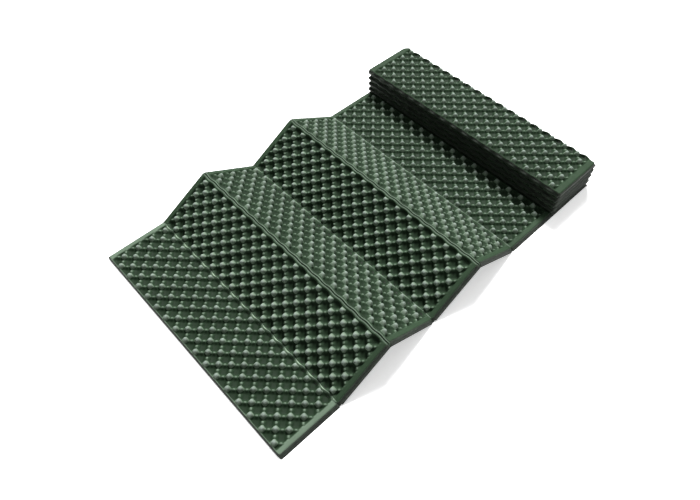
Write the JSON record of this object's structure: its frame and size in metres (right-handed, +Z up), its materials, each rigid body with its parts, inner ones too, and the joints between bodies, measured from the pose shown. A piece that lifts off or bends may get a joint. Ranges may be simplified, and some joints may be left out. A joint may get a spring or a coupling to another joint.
{
  "type": "foam sleeping pad",
  "caption": "Concertina egg-crate foam sleeping pad, green over near-black, part folded: a flat end panel, two low tents, a flat panel and a folded stack.",
  "frame": {"origin": "middle of the pad's footprint, on the ground, in the half-unfolded pose", "axes": "+Y along the strip from the loose end to the folded stack, +X across the pad, +Z up"},
  "size_m": [0.5098, 0.797, 0.0664],
  "materials": {
    "top_foam": "matte closed-cell foam, moulded egg-crate, dull green",
    "base_foam": "matte closed-cell foam, near-black",
    "fold_foam": "crushed foam skin in the fold line, dull green"
  },
  "bodies": {
    "panel_01": {"panel_01_base": "base_foam", "panel_01_top": "top_foam", "fold_01_web": "fold_foam"},
    "panel_02": {"panel_02_base": "base_foam", "panel_02_top": "top_foam", "fold_02_web": "fold_foam"},
    "panel_03": {"panel_03_base": "base_foam", "panel_03_top": "top_foam", "fold_03_web": "fold_foam"},
    "panel_04": {"panel_04_base": "base_foam", "panel_04_top": "top_foam", "fold_04_web": "fold_foam"},
    "panel_05": {"panel_05_base": "base_foam", "panel_05_top": "top_foam", "fold_05_web": "fold_foam"},
    "panel_06": {"panel_06_base": "base_foam", "panel_06_top": "top_foam", "fold_06_web": "fold_foam"},
    "panel_07": {"panel_07_base": "base_foam", "panel_07_top": "top_foam", "fold_07_web": "fold_foam"},
    "panel_08": {"panel_08_base": "base_foam", "panel_08_top": "top_foam", "fold_08_web": "fold_foam"},
    "panel_09": {"panel_09_base": "base_foam", "panel_09_top": "top_foam", "fold_09_web": "fold_foam"},
    "panel_10": {"panel_10_base": "base_foam", "panel_10_top": "top_foam", "fold_10_web": "fold_foam"},
    "panel_11": {"panel_11_base": "base_foam", "panel_11_top": "top_foam", "fold_11_web": "fold_foam"},
    "panel_12": {"panel_12_base": "base_foam", "panel_12_top": "top_foam", "fold_12_web": "fold_foam"},
    "panel_13": {"panel_13_base": "base_foam", "panel_13_top": "top_foam", "fold_13_web": "fold_foam"},
    "panel_14": {"panel_14_base": "base_foam", "panel_14_top": "top_foam", "fold_14_web": "fold_foam"},
    "panel_15": {"panel_15_base": "base_foam", "panel_15_top": "top_foam"}
  },
  "joints": [
    {"name": "fold_05", "type": "hinge", "parent": "panel_06", "child": "panel_05", "pos_m": [0, 0.15653, 0.0074], "axis": [-1, 0, 0], "range_deg": [-28.75, 61.25]},
    {"name": "fold_04", "type": "hinge", "parent": "panel_05", "child": "panel_04", "pos_m": [0, 0.04777, 0.05863], "axis": [1, 0, 0], "range_deg": [-57.5, 122.5]},
    {"name": "fold_03", "type": "hinge", "parent": "panel_04", "child": "panel_03", "pos_m": [0, -0.061, 0.0074], "axis": [-1, 0, 0], "range_deg": [-57.5, 122.5]},
    {"name": "fold_02", "type": "hinge", "parent": "panel_03", "child": "panel_02", "pos_m": [0, -0.16977, 0.05863], "axis": [1, 0, 0], "range_deg": [-57.5, 122.5]},
    {"name": "fold_01", "type": "hinge", "parent": "panel_02", "child": "panel_01", "pos_m": [0, -0.27853, 0.0074], "axis": [-1, 0, 0], "range_deg": [-28.75, 151.25]},
    {"name": "fold_06", "type": "hinge", "parent": "panel_06", "child": "panel_07", "pos_m": [0, 0.27653, 0], "axis": [-1, 0, 0], "range_deg": [0, 180]},
    {"name": "fold_07", "type": "hinge", "parent": "panel_07", "child": "panel_08", "pos_m": [0, 0.39653, 0.0074], "axis": [-1, 0, 0], "range_deg": [0, 180]},
    {"name": "fold_08", "type": "hinge", "parent": "panel_08", "child": "panel_09", "pos_m": [0, 0.27653, 0.0148], "axis": [1, 0, 0], "range_deg": [0, 180]},
    {"name": "fold_09", "type": "hinge", "parent": "panel_09", "child": "panel_10", "pos_m": [0, 0.39653, 0.0222], "axis": [-1, 0, 0], "range_deg": [0, 180]},
    {"name": "fold_10", "type": "hinge", "parent": "panel_10", "child": "panel_11", "pos_m": [0, 0.27653, 0.0296], "axis": [1, 0, 0], "range_deg": [0, 180]},
    {"name": "fold_11", "type": "hinge", "parent": "panel_11", "child": "panel_12", "pos_m": [0, 0.39653, 0.037], "axis": [-1, 0, 0], "range_deg": [0, 180]},
    {"name": "fold_12", "type": "hinge", "parent": "panel_12", "child": "panel_13", "pos_m": [0, 0.27653, 0.0444], "axis": [1, 0, 0], "range_deg": [0, 180]},
    {"name": "fold_13", "type": "hinge", "parent": "panel_13", "child": "panel_14", "pos_m": [0, 0.39653, 0.0518], "axis": [-1, 0, 0], "range_deg": [0, 180]},
    {"name": "fold_14", "type": "hinge", "parent": "panel_14", "child": "panel_15", "pos_m": [0, 0.27653, 0.0592], "axis": [1, 0, 0], "range_deg": [0, 180]}
  ],
  "couplings": [
    {"joint": "fold_04", "follows": "fold_05", "ratio": 2},
    {"joint": "fold_03", "follows": "fold_05", "ratio": 2},
    {"joint": "fold_02", "follows": "fold_05", "ratio": 2},
    {"joint": "fold_08", "follows": "fold_07", "ratio": 1},
    {"joint": "fold_09", "follows": "fold_07", "ratio": 1},
    {"joint": "fold_10", "follows": "fold_07", "ratio": 1},
    {"joint": "fold_11", "follows": "fold_07", "ratio": 1},
    {"joint": "fold_12", "follows": "fold_07", "ratio": 1},
    {"joint": "fold_13", "follows": "fold_07", "ratio": 1}
  ]
}
